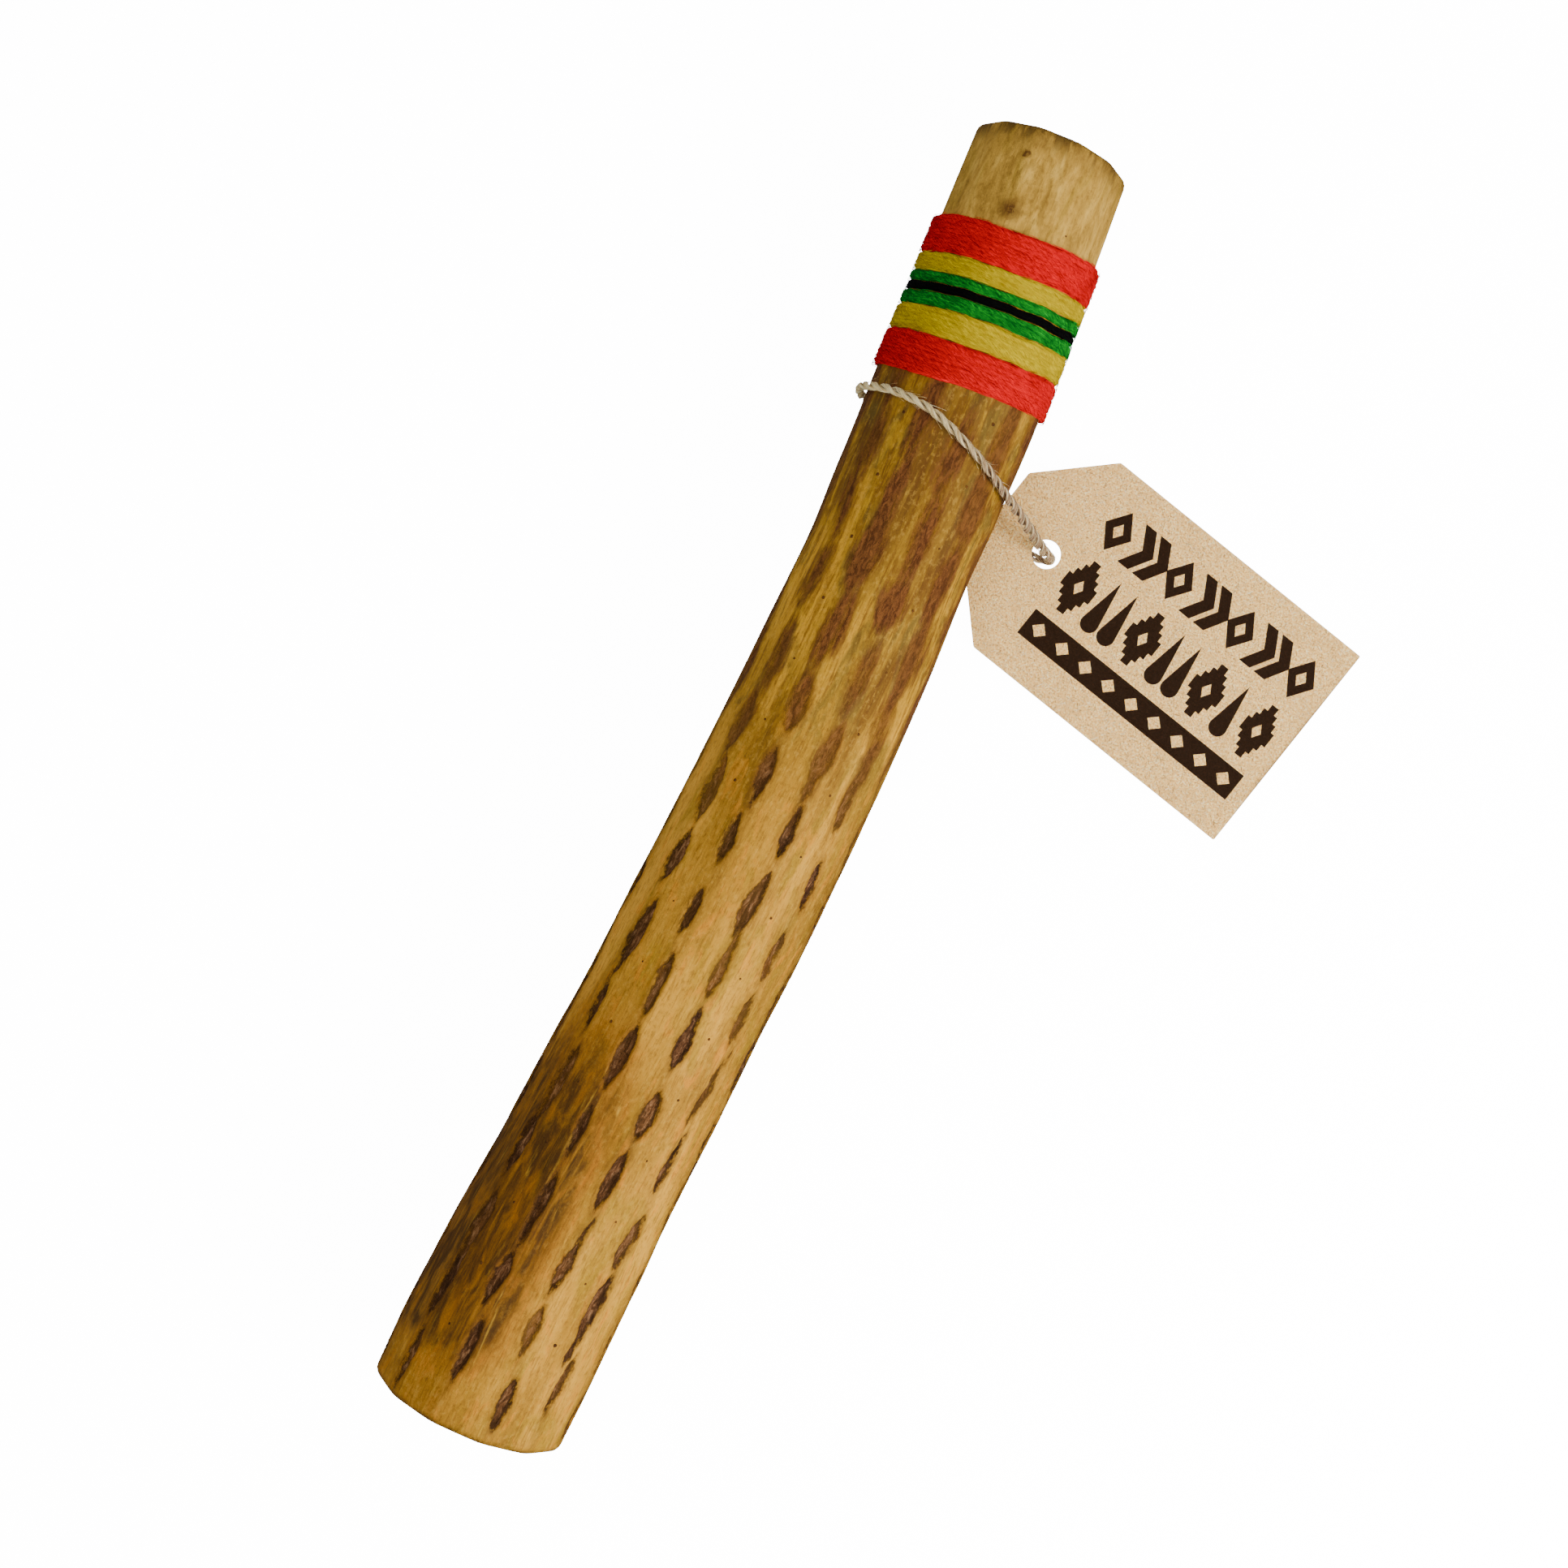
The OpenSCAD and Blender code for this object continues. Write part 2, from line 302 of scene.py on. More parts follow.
def tube(path, radius, sides, first=(0, 0, 1)):
    """Points and faces of a closed round tube; radius is one number or one for each point."""
    u, v = side_vectors(path, first)
    radius = np.broadcast_to(radius, len(path))[:, None, None]
    rings = path[:, None, :] + radius * round_from(u[:, None, :], v[:, None, :], circle(sides))
    return rings.reshape(-1, 3), capped(len(path), sides)


def spline(points, spacing):
    """Points along a smooth curve through the route, about spacing apart."""
    points = np.asarray(points, float)
    last, out = len(points) - 1, []
    for i in range(last):
        a, b = points[max(i - 1, 0)], points[i]
        c, d = points[i + 1], points[min(i + 2, last)]
        steps = max(1, round(np.linalg.norm(c - b) / spacing))
        for t in np.arange(steps) / steps:
            out.append(0.5 * (2 * b + (c - a) * t + (2 * a - 5 * b + 4 * c - d) * t ** 2
                              + (3 * b - a - 3 * c + d) * t ** 3))
    return np.array(out + [points[-1]])


# ---- the stick's own shape
LENGTH, WIDE_RADIUS, NARROW_RADIUS = 508 * MM, 37.4 * MM, 29 * MM
BOW, BOW_LEAN, BOW_FLAT = 8.7 * MM, 0.45, 0.5
WALL, RIBS, RIM = 7 * MM, 12, 3 * MM
WIDE_CUT, NARROW_CUT = 0.8 * DEG, 3 * DEG
RIB_CREST, RIB_GROOVE, CREST_ANGLE = 0.9 * MM, -1.1 * MM, 15 * DEG
WIDE_SEAT, NARROW_SEAT, PLUG_DEPTH = 30.6 * MM, 22.4 * MM, 9 * MM
LIE, CHORD_Y, CHORD_Z = 0.490798 * DEG, 2.3 * MM, 34.79992 * MM
WIDE_X = -LENGTH / 2 + WIDE_RADIUS * math.tan(WIDE_CUT)
NARROW_X = LENGTH / 2 - NARROW_RADIUS * math.tan(NARROW_CUT)
# How much fuller or slimmer than an even taper the wood is, in mm, at stations in mm
GIRTH_AT = (-254, -225, -190, -155, -120, -90, -50, 15, 50, 92, 122, 158, 228, 254)
GIRTH = (-0.5, 0.3, 0.1, -0.8, -0.5, -0.8, -0.1, -0.1, -0.2, -1.0, 0.1, 1.0, 0.5, 0.4)


def mean_radius(x):
    return WIDE_RADIUS + (NARROW_RADIUS - WIDE_RADIUS) * (x - WIDE_X) / (NARROW_X - WIDE_X)


def bow(x):
    t = 2 * x / LENGTH
    return -BOW * (1 - t * t) * (1 + BOW_LEAN * t - BOW_FLAT * t * t)


def cut_angle(x):
    return WIDE_CUT + (NARROW_CUT - WIDE_CUT) * (x - WIDE_X) / (NARROW_X - WIDE_X)


def girth(x):
    """Even steps between the listed stations, eased so that no kink shows."""
    stations = np.array(GIRTH_AT) * MM
    i = np.clip(np.searchsorted(stations, x) - 1, 0, len(stations) - 2)
    t = ease(x, stations[i], stations[i + 1])
    values = np.array(GIRTH) * MM
    return values[i] * (1 - t) + values[i + 1] * t


def wood_radius(x, angle):
    """Nearly round above; below, the full ribs that the stick lies on."""
    rib = np.abs(np.sin(RIBS / 2 * (angle - CREST_ANGLE)))
    full = RIB_CREST + (RIB_GROOVE - RIB_CREST) * rib
    slight = girth(x) + (0.35 - 0.7 * rib ** 1.5) * MM
    under = ease(-np.sin(angle), 0.25, 0.8)
    return mean_radius(x) + slight * (1 - under) + full * under


def place(x, angle, radius):
    """Points of the row frame at stations x, angles and radii of the stick."""
    x, angle, radius = np.broadcast_arrays(x, angle, radius)
    bow_x = bow(x)
    (across, up), cut = polar(radius, angle), cut_angle(x)
    x, up = turned(x - across * np.sin(cut), up, -LIE)
    return columns(x, bow_x + across * np.cos(cut) + CHORD_Y, CHORD_Z + up).reshape(-1, 3)


# ---- twine
TWINE_ROUTE = np.array([
    (129, -24, 2), (132, -18, 1.6), (137, -10, 1.4), (141, -1, 1.4), (143, 6, 1.8),
    (144, 13, 4.8), (145, 19, 9.2), (145, 25, 16.6), (145, 29, 26), (145, 30, 35),
    (145, 28.6, 44), (145, 24, 53), (145, 17, 60.6), (144, 8, 66), (142, -1, 68),
    (139, -10, 67.6), (136, -18.5, 64.6), (133, -26.2, 59.9), (130, -33.4, 52.8), (128, -40, 43.6),
    (126, -46.4, 34), (124, -52.4, 24.5), (122.6, -57.2, 16.2), (121.8, -61.1, 11.1),
    (121.4, -62, 7.1), (121.2, -61.2, 4.2), (121, -59.3, 2.3), (120.9, -56.4, 1.4),
    (121.8, -51.6, 1.4), (122.7, -45.6, 1.4), (123.7, -38.6, 1.4), (124.8, -32, 1.6), (126, -27.6, 2.1),
]) * MM
KNOT = np.array((127.4, -25.6, 3)) * MM
PLY_LAY = 13 * MM
PLY_OFFSET, PLY_WIDE, PLY_THICK = 0.84 * MM, 1.06 * MM, 0.76 * MM
PLY_SIDES, HAIRS, HAIRS_BY_TAG, HAIR_STEPS = 16, 260, 0.45, 7


def jute_material():
    g = Graph("jute_twine")
    fibre = g.attribute("fibre", "Vector")
    streak = g.noise(fibre, (260, 2.6, 5), 4, 0.65)
    fine = g.noise(fibre, (900, 9, 5), 3, 0.6)
    edge = g.attribute("edge")
    grime = g.noise(g.object_place(), 160, 3)
    pale = g.ramp(streak, (0.40, (0.60, 0.44, 0.24)), (0.5, (1.0, 0.88, 0.58)),
                  (0.60, (1.0, 0.99, 0.82)))
    grey = g.ramp(streak, (0.40, (0.26, 0.17, 0.10)), (0.51, (0.56, 0.42, 0.31)),
                  (0.62, (0.95, 0.82, 0.62)))
    colour = g.mix(g.attribute("grey"), pale, grey)
    # painted sheen on the flanks of the plies, and painted shade where they face each other
    colour = g.tint(colour, (1.0, 0.93, 0.74), edge, 0.6, 1.0, 0.5)
    colour = g.tint(colour, (0.34, 0.23, 0.13), edge, 0.35, 0.0, 0.6)
    colour = g.tint(colour, (0.40, 0.30, 0.22), grime, 0.55, 0.75, 0.35)
    return g.finish(colour, g.line(fine, 0.2, 0.62),
                    g.bump(g.line(fine, 0.5, streak), 1.0, 0.0004), Specular_IOR_Level=0.2)


def grey_share(points):
    """0 where the twine is pale, at the far side of the stick, to 1 near the tag's hole."""
    return ease(-points[:, 1], -0.020, 0.034)


def ply_fibre(along, turn, offset=0):
    """Place along and round a ply, for the streaks of its fibres."""
    return columns(np.repeat(along, len(turn)), np.tile(np.cos(turn) * 2, len(along)),
                   np.tile(np.sin(turn) * 2, len(along)) + offset)


jute = jute_material()
centreline = spline(TWINE_ROUTE, 0.7 * MM)
travelled = np.concatenate([[0], np.cumsum(np.linalg.norm(np.diff(centreline, axis=0), axis=1))])
across, over = side_vectors(centreline)
around = circle(PLY_SIDES)
lay_wander = wander(travelled, 60, 3.1, 0.7)
near_tag = ease(-centreline[:, 1], 26 * MM, 50 * MM) * ease(centreline[:, 2], 4 * MM, 12 * MM)
loose = 1 + 0.28 * near_tag
# painted light and shade on each ply: darker where it faces the other one (painted shade), paler on its
# flanks (painted sheen)
facing, side_on = np.cos(around), np.abs(np.sin(around))
ply_edge = np.where(facing < -0.2, 0.35 * side_on, 0.4 + 0.6 * side_on ** 3)
twine_parts = Parts()
for ply in (0, 1):
    turn = TURN * travelled / PLY_LAY + ply * math.pi + 0.9 * lay_wander
    out = round_from(across, over, turn)
    beside = round_from(over, -across, turn)
    swell = loose + 0.13 * wander(travelled, 190, 7.7 * ply + 1, 0)
    wide = PLY_WIDE * swell[:, None] * (1 + 0.05 * np.cos(5 * around + 2.0)[None, :])
    thick = PLY_THICK * swell[:, None] * (1 + 0.10 * np.cos(3 * around + turn[:, None])
                                          + 0.05 * np.cos(7 * around)[None, :])
    rings = (centreline + PLY_OFFSET * loose[:, None] * out)[:, None, :] \
        + (thick * np.cos(around))[:, :, None] * out[:, None, :] \
        + (wide * np.sin(around))[:, :, None] * beside[:, None, :]
    # where it lies on the floor or under the stick the twine is pressed flat
    room = np.clip((centreline[:, 2] - 0.1 * MM) / (1.5 * MM), 0.3, 1)[:, None]
    height = centreline[:, None, 2]
    rings[:, :, 2] = np.maximum(height + (rings[:, :, 2] - height) * room, FLOOR_GAP)
    flat = rings.reshape(-1, 3)
    twine_parts.add(flat, capped(len(centreline), PLY_SIDES), grey=grey_share(flat),
                    fibre=ply_fibre(travelled, around, ply * 9),
                    edge=np.tile(ply_edge, len(centreline)))
twine = twine_parts.build("twine_two_ply", jute)

# Loose hairs stand off the twine, many of them near the tag
rng = np.random.default_rng(41)
hair_parts = Parts()
tag_stretch = (int(len(centreline) * 0.70), int(len(centreline) * 0.82))
for _ in range(HAIRS):
    start = rng.integers(3, len(centreline) - 26)
    if rng.random() < HAIRS_BY_TAG:
        start = rng.integers(*tag_stretch)
    if centreline[start, 2] < 5 * MM:
        continue
    span = rng.integers(5, 16)
    lift = rng.uniform(0.4, 2.6) * MM
    direction = rng.uniform(0, TURN)
    outward = round_from(across[start], over[start], direction)
    sideways = round_from(over[start], -across[start], direction)
    t = np.linspace(0, 1, HAIR_STEPS)
    base = centreline[np.linspace(start, start + span, HAIR_STEPS).astype(int)]
    curl = rng.uniform(-1.6, 1.6) * MM
    line = base + outward * (1.15 * MM + lift * t[:, None] ** 1.7) + sideways * curl * (t ** 2)[:, None]
    keep_above(line, 0.3 * MM)
    points, faces = tube(line, np.linspace(0.075, 0.03, HAIR_STEPS) * MM, 3, outward)
    hair_parts.add(points, faces, fibre=points * 3, edge=rng.random(),
                   grey=grey_share(points) * rng.uniform(0.2, 0.8))
hairs = hair_parts.build("twine_hairs", jute)

# The knot: a tight trefoil of the same twine, and two cut tails
knot_parts = Parts()
t = np.linspace(0, TURN, 97)[:-1]
trefoil = columns(np.sin(t) + 2 * np.sin(2 * t), np.cos(t) - 2 * np.cos(2 * t),
                  -np.sin(3 * t) * 1.1)
trefoil = KNOT + trefoil * 0.72 * MM
u, v = side_vectors(np.concatenate([trefoil, trefoil[:1]]))
for ply in (0, 1):
    spin = 5 * t + ply * math.pi
    core = trefoil + 0.42 * MM * round_from(u[:-1], v[:-1], spin)
    ring = circle(10)
    skin = (core[:, None, :] + 0.58 * MM
            * round_from(u[:-1, None, :], v[:-1, None, :], ring)).reshape(-1, 3)
    keep_above(skin, 0.1 * MM)
    knot_parts.add(skin, lattice(len(core), 10, True), fibre=ply_fibre(t * 4 * MM, ring),
                   edge=np.tile(np.abs(np.sin(ring)) ** 3, len(core)), grey=0.5)
STRANDS = 7
TAILS = (((1.2, -1.6, 0.2), (4.0, -4.6, -0.9), (7.5, -7.2, -1.7), (11.5, -8.6, -1.85)),
         ((1.8, 0.8, 0.2), (5.0, 1.6, -1.0), (8.6, 1.2, -1.75), (12.0, 2.6, -1.85)))
for tail in TAILS:
    line = spline(KNOT + np.array(tail) * MM, 0.6 * MM)
    for strand in range(STRANDS):
        spread = strand * TURN / STRANDS
        grow = np.linspace(0.35, 1, len(line)) ** 3
        radius = (0.45 + 0.75 * grow) * MM
        offset = columns(*polar(radius, spread + 6 * grow), 0.3 * np.sin(spread * 2) * radius)
        strand_line = line + offset
        keep_above(strand_line, 0.45 * MM)
        points, faces = tube(strand_line, np.linspace(0.5, 0.16, len(line)) * MM, 6)
        keep_above(points, 0.05 * MM)
        knot_parts.add(points, faces, fibre=points * (1, 90, 90), edge=0.4 + 0.08 * strand, grey=0.4)
knot = knot_parts.build("twine_knot_tied", jute)
for piece in (twine, hairs, knot):
    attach(piece, "twine_loop")
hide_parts("twine")
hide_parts("twine_knot")

# ---- wood
AROUND = 288
PIT_PITCH = 28.5 * MM
PIT_PHASES = (-54 * MM, -68 * MM)
PIT_TOP, PIT_BOTTOM = 157 * MM, -247 * MM
# shares of the pits that run on into a smaller one, and of those that do so towards the narrow end
TAILED, TAILED_UP = 0.45, 0.2
# above the band: a small knot, a dot, and the middle of the grain's ovals
KNOT_HOLE = (220.5 * MM, 76 * DEG)
DARK_DOT = (241 * MM, 73 * DEG)
OVALS = (232 * MM, 80 * DEG)
BAND_LOW, BAND_HIGH = 159 * MM, 218 * MM
BAND_TURN, BAND_LEAN = 3 * DEG, 8 * DEG
rng = np.random.default_rng(12)


def upper_share(x):
    """0 on the crisp lower half of the stick, 1 on the browner, softer upper half."""
    return ease(x, -25 * MM, 55 * MM)


Pit = namedtuple("Pit", "x angle length width slant depth dark")


def inside_pit(pit, x, angle):
    """Distance in from the pit's outline, roughly; negative outside."""
    dx = x - pit.x
    turn = (angle - pit.angle + math.pi) % TURN - math.pi
    dw = turn * mean_radius(pit.x) - pit.slant * dx
    return pit.width * (1 - (dx / pit.length) ** 2) - np.abs(dw)


pits = []
for row in range(RIBS):
    row_angle = CREST_ANGLE + row * TURN / RIBS
    x = PIT_PHASES[row % 2] - 8 * PIT_PITCH
    while x < PIT_TOP + PIT_PITCH:
        at = x + rng.normal(0, 1.4) * MM
        angle = row_angle + rng.normal(0, 1.3) * DEG
        soft = float(upper_share(np.float64(at)))
        length = (rng.uniform(9.5, 14.5) * (1 - soft) + rng.uniform(11, 19) * soft) * MM
        width = (rng.uniform(1.8, 3.1) * (1 - soft) + rng.uniform(2.8, 5.2) * soft) * MM
        dark = rng.uniform(0.68, 1)
        slant = rng.normal(0.015, 0.05)
        depth = (rng.uniform(1.2, 2.0) * (1 - soft) + 0.5 * soft) * MM
        tail = rng.random()
        if PIT_BOTTOM < at < PIT_TOP:
            pits.append(Pit(at, angle, length, width, slant, depth, dark))
            if tail < TAILED:
                way = 1 if tail < TAILED_UP else -1
                off = 0.6 * way * slant * length / WIDE_RADIUS
                pits.append(Pit(at + way * length * 0.95, angle + off, length * 0.62,
                                width * 0.5, slant * 2, depth * 0.8, dark))
        x += PIT_PITCH
# the dent that shows on the outline near the wide end
pits.append(Pit(-238 * MM, 182 * DEG, 7 * MM, 4 * MM, 0.0, 1.3 * MM, 0.1))

# stations of the skin's rings: close together where it shows, few under the band
low, high = BAND_LOW + 9 * MM, BAND_HIGH - 9 * MM
stations = np.concatenate([np.linspace(WIDE_X + RIM, low, 272), np.linspace(low, high, 8)[1:-1],
                           np.linspace(high, NARROW_X - RIM, 26)])
angles = circle(AROUND)
grid_x, grid_a = np.meshgrid(stations, angles, indexing="ij")
grid_r = wood_radius(grid_x, grid_a)
seamless = columns(grid_x, *polar(grid_r, grid_a)).reshape(-1, 3)


def over_grid(stretch, scale, seed=0):
    return ripple(seamless * stretch, scale, seed).reshape(grid_x.shape)


ragged = over_grid((1, 2.2, 2.2), 300) + 0.5 * over_grid((1, 1.8, 1.8), 700, 5)
pit_field = np.full(grid_x.shape, -5 * MM)
pit_depth = np.zeros(grid_x.shape)
pit_dark = np.full(grid_x.shape, 0.8)
for pit in pits:
    near = np.abs(stations - pit.x) < pit.length * 1.5 + 4 * MM
    field = inside_pit(pit, grid_x[near], grid_a[near])
    pit_depth[near] = np.where(field > pit_field[near], pit.depth, pit_depth[near])
    pit_dark[near] = np.where(field > pit_field[near], pit.dark, pit_dark[near])
    pit_field[near] = np.maximum(pit_field[near], field)
softness = upper_share(grid_x)
pit_field = pit_field + over_grid((0.7, 1, 1), 130, 3) * 0.9 * MM
rough_field = pit_field + ragged * 0.7 * MM
sunk = ease(rough_field, -0.3 * MM, (0.9 + 1.6 * softness) * MM)
# how near each point is to the line of its row of pits: brown bands join them
row_off = (grid_a - CREST_ANGLE + math.pi / RIBS) % (TURN / RIBS) - math.pi / RIBS
lane = np.exp(-(row_off * mean_radius(grid_x) / (2.6 * MM)) ** 2)
lip = ease(rough_field, -1.6 * MM, -0.4 * MM) * (1 - sunk)
undulation = over_grid((0.35, 1, 1), 45, 9)
grid_r = grid_r - pit_depth * sunk + lip * 0.12 * MM * (1 - softness) + undulation * 0.16 * MM

# place of each point from the middle of the ovals above the band, along and across
oval_at = columns(grid_x - OVALS[0], (grid_a - OVALS[1]) * NARROW_RADIUS,
                  np.zeros(grid_x.shape)).reshape(-1, 3)
hole_far = np.hypot(grid_x - KNOT_HOLE[0], (grid_a - KNOT_HOLE[1]) * NARROW_RADIUS)
grid_r = grid_r - 0.4 * MM * (1 - ease(hole_far, 0.6 * MM, 2.2 * MM))


def rim_rings(end_x, side, seat):
    """Rings over the rounded rim, then in over the flat end to the plug's seat."""
    base = wood_radius(end_x + side * RIM, angles)
    rings = [(end_x + side * (RIM - RIM * math.sin(bend)), base - RIM * (1 - math.cos(bend)))
             for bend in np.array((22, 45, 68, 90)) * DEG]
    rings += [(end_x, (base - RIM) * (1 - share) + seat * share) for share in (0.35, 0.7)]
    seated = np.full(AROUND, seat)
    return rings + [(end_x, seated), (end_x + side * PLUG_DEPTH, seated)]


loops = list(zip(stations, grid_r)) + rim_rings(NARROW_X, -1, NARROW_SEAT)
for x in np.linspace(NARROW_X - PLUG_DEPTH, WIDE_X + PLUG_DEPTH, 9):
    loops.append((x, np.full(AROUND, mean_radius(x) - WALL)))
loops += rim_rings(WIDE_X, 1, WIDE_SEAT)[::-1]
wood_points = np.concatenate([place(x, angles, r) for x, r in loops])
keep_above(wood_points, 0)
loop_x = np.repeat([x for x, _ in loops], AROUND)
loop_r = np.concatenate([r for _, r in loops])
loop_a = np.tile(angles, len(loops))
skin_count = len(stations) * AROUND


def over_skin(values, elsewhere):
    """One value for each point of the tube: those of the skin, then elsewhere for the rest."""
    values = values.reshape(skin_count, -1)
    full = np.full((len(wood_points), values.shape[1]), elsewhere, float)
    full[:skin_count] = values
    return full if values.shape[1] > 1 else full[:, 0]


def cactus_material():
    g = Graph("cactus_wood")
    grain = g.attribute("grain", "Vector")
    names = ("pit", "soft", "crown", "lane", "stain", "dark", "rim", "sawn")
    pit, soft, crown, lane, stain, dark, rim, sawn = map(g.attribute, names)
    oval = g.attribute("oval", "Vector")
    broad = g.noise(grain, (9, 60, 60), 3, 0.55, 0.4)
    streak = g.noise(grain, (26, 330, 330), 4, 0.66, 0.5)
    fine = g.noise(grain, (150, 1500, 1500), 3, 0.6)
    patch = g.noise(grain, (26, 75, 75), 4, 0.6, 0.8)
    mottle = g.noise(grain, (70, 210, 210), 4, 0.6, 0.5)
    sandy = g.noise(grain, (420, 620, 620), 3, 0.7)

    # lower half: warm tan over ochre
    lower = g.ramp(broad, (0.32, (0.47, 0.33, 0.06)), (0.50, (0.63, 0.45, 0.11)),
                   (0.68, (0.78, 0.57, 0.18)))
    lower = g.tint(lower, (0.56, 0.44, 0.06), patch, 0.48, 0.66, 0.6)
    lower = g.tint(lower, (0.80, 0.50, 0.10), mottle, 0.52, 0.70, 0.5)
    # upper half: mustard, streaked with brown and a dull green
    upper = g.ramp(broad, (0.36, (0.36, 0.24, 0.05)), (0.50, (0.57, 0.42, 0.09)),
                   (0.64, (0.76, 0.56, 0.14)))
    upper = g.tint(upper, (0.33, 0.19, 0.05), streak, 0.50, 0.60, 0.55)
    upper = g.tint(upper, (0.36, 0.30, 0.11), patch, 0.50, 0.62, 0.65)
    upper = g.tint(upper, (0.74, 0.56, 0.10), mottle, 0.54, 0.68, 0.45)
    wood = g.mix(soft, lower, upper)
    banded = g.times(lane, g.line(soft, 0.50, 0.26))
    wood = g.tint(wood, (0.26, 0.19, 0.07), patch, 0.34, 0.58, banded)
    # the darker side of the lower half: black-brown streaks with an orange border, partly a stain in
    # the wood and partly painted shade of the side turned from the key light
    wavy_stain = g.plus(stain, g.line(patch, 0.9, -0.45))
    wood = g.tint(wood, (0.52, 0.30, 0.06), wavy_stain, 0.08, 0.42, 0.50)
    patchy = g.times(g.step(streak, 0.76, 0.46), g.line(g.step(mottle, 0.62, 0.40), 0.45, 0.43))
    wood = g.tint(wood, (0.17, 0.095, 0.025), wavy_stain, 0.30, 0.74, patchy)
    # above the band: smooth and mottled, with soft ovals of grain round a small knot
    olive = g.ramp(mottle, (0.32, (0.54, 0.41, 0.15)), (0.50, (0.66, 0.51, 0.20)),
                   (0.68, (0.76, 0.61, 0.27)))
    olive = g.tint(olive, (0.50, 0.40, 0.09), patch, 0.50, 0.68, 0.5)
    oval_far = g.vector("LENGTH", g.scaled(oval, (1.0, 1.7, 1)), out="Value")
    turns = g.line(oval_far, 1000, g.times(mottle, 14))
    ringed = g.times(g.step(oval_far, 0.030, 0.012), 0.30)
    olive = g.tint(olive, (0.40, 0.29, 0.08), g.math("SINE", turns), 0.1, 1.0, ringed)
    shift = g.node("TexNoise", {"Vector": grain, "Scale": 520.0, "Detail": 3.0}).outputs["Color"]
    ragged_oval = g.vector("ADD", oval, g.scaled(shift, (0.0024, 0.0024, 0)))
    for (x, angle), near, amount in ((KNOT_HOLE, 0.0062, 0.62), (KNOT_HOLE, 0.0026, 0.85),
                                     (DARK_DOT, 0.0021, 0.90)):
        centre = (x - OVALS[0] + 0.0012, (angle - OVALS[1]) * NARROW_RADIUS + 0.0012, 0)
        away = g.vector("DISTANCE", ragged_oval, centre, "Value")
        olive = g.tint(olive, (0.26, 0.14, 0.03), away, near, near * 0.35, amount)
    wood = g.mix(crown, wood, olive)
    # fine grain and a sandy speckle everywhere
    wood = g.tint(wood, (0.80, 0.62, 0.20), streak, 0.42, 0.28, g.line(crown, -0.304, 0.38))
    wood = g.tint(wood, (0.34, 0.21, 0.04), fine, 0.50, 0.64, g.line(crown, -0.18, 0.36))
    wood = g.tint(wood, (0.30, 0.18, 0.05), sandy, 0.52, 0.68, 0.30)
    wood = g.tint(wood, (0.86, 0.68, 0.30), sandy, 0.48, 0.34, g.line(stain, -0.16, 0.16))

    # pits: the ragged outline comes from noise added to the distance field, in mm
    tooth = g.noise(grain, (230, 520, 520), 4, 0.72)
    ragged_pit = g.ruffled(pit, tooth, 4.2)
    crisp_mask = g.step(ragged_pit, -0.6, 0.6)
    blurred = g.ruffled(g.ruffled(ragged_pit, patch, 8.0), streak, 8.0)
    soft_mask = g.step(blurred, -2.8, 2.6)
    lining = g.noise(grain, (240, 700, 700), 4, 0.75, 0.8)
    inner = g.ramp(lining, (0.36, (0.17, 0.085, 0.03)), (0.50, (0.35, 0.22, 0.12)),
                   (0.66, (0.56, 0.41, 0.28)))
    # the near-black band just inside a crisp pit's outline is painted shade of its wall under the lip;
    # deeper in, the pit's own lining shows, with near-black patches of its own
    deep = g.step(ragged_pit, 0.1, 1.7)
    crisp_colour_and_shade = g.mix(g.times(deep, g.step(mottle, 0.30, 0.55)), (0.15, 0.075, 0.02), inner)
    soft_colour = g.mix(g.step(lining, 0.38, 0.62), (0.26, 0.13, 0.05), (0.43, 0.26, 0.12))
    wood = g.tint(wood, (0.36, 0.22, 0.05), ragged_pit, -2.8, 0.2, g.times(dark, 0.5))
    crisp_share = g.times(g.times(crisp_mask, dark), g.math("SUBTRACT", 1.0, soft))
    wood = g.mix(crisp_share, wood, crisp_colour_and_shade)
    soft_share = g.times(g.times(soft_mask, soft), dark)
    wood = g.mix(soft_share, wood, soft_colour)

    # sawn ends and the rims, darkened by handling
    wood = g.tint(wood, (0.24, 0.15, 0.04), mottle, 0.34, 0.58, g.times(rim, 0.85))
    end_grain = g.ramp(g.noise(grain, (10, 900, 900), 4, 0.7),
                       (0.35, (0.50, 0.36, 0.16)), (0.62, (0.82, 0.68, 0.42)))
    wood = g.mix(sawn, wood, end_grain)

    height = g.line(streak, 0.6, g.times(sandy, 0.5))
    torn = g.times(crisp_mask, g.line(lining, 2.2, -1.4))
    normal = g.bump(g.plus(height, torn), 0.6, 0.0006)
    rough = g.line(crisp_mask, 0.15, g.line(streak, 0.25, 0.55))
    return g.finish(wood, rough, normal, Specular_IOR_Level=0.10)


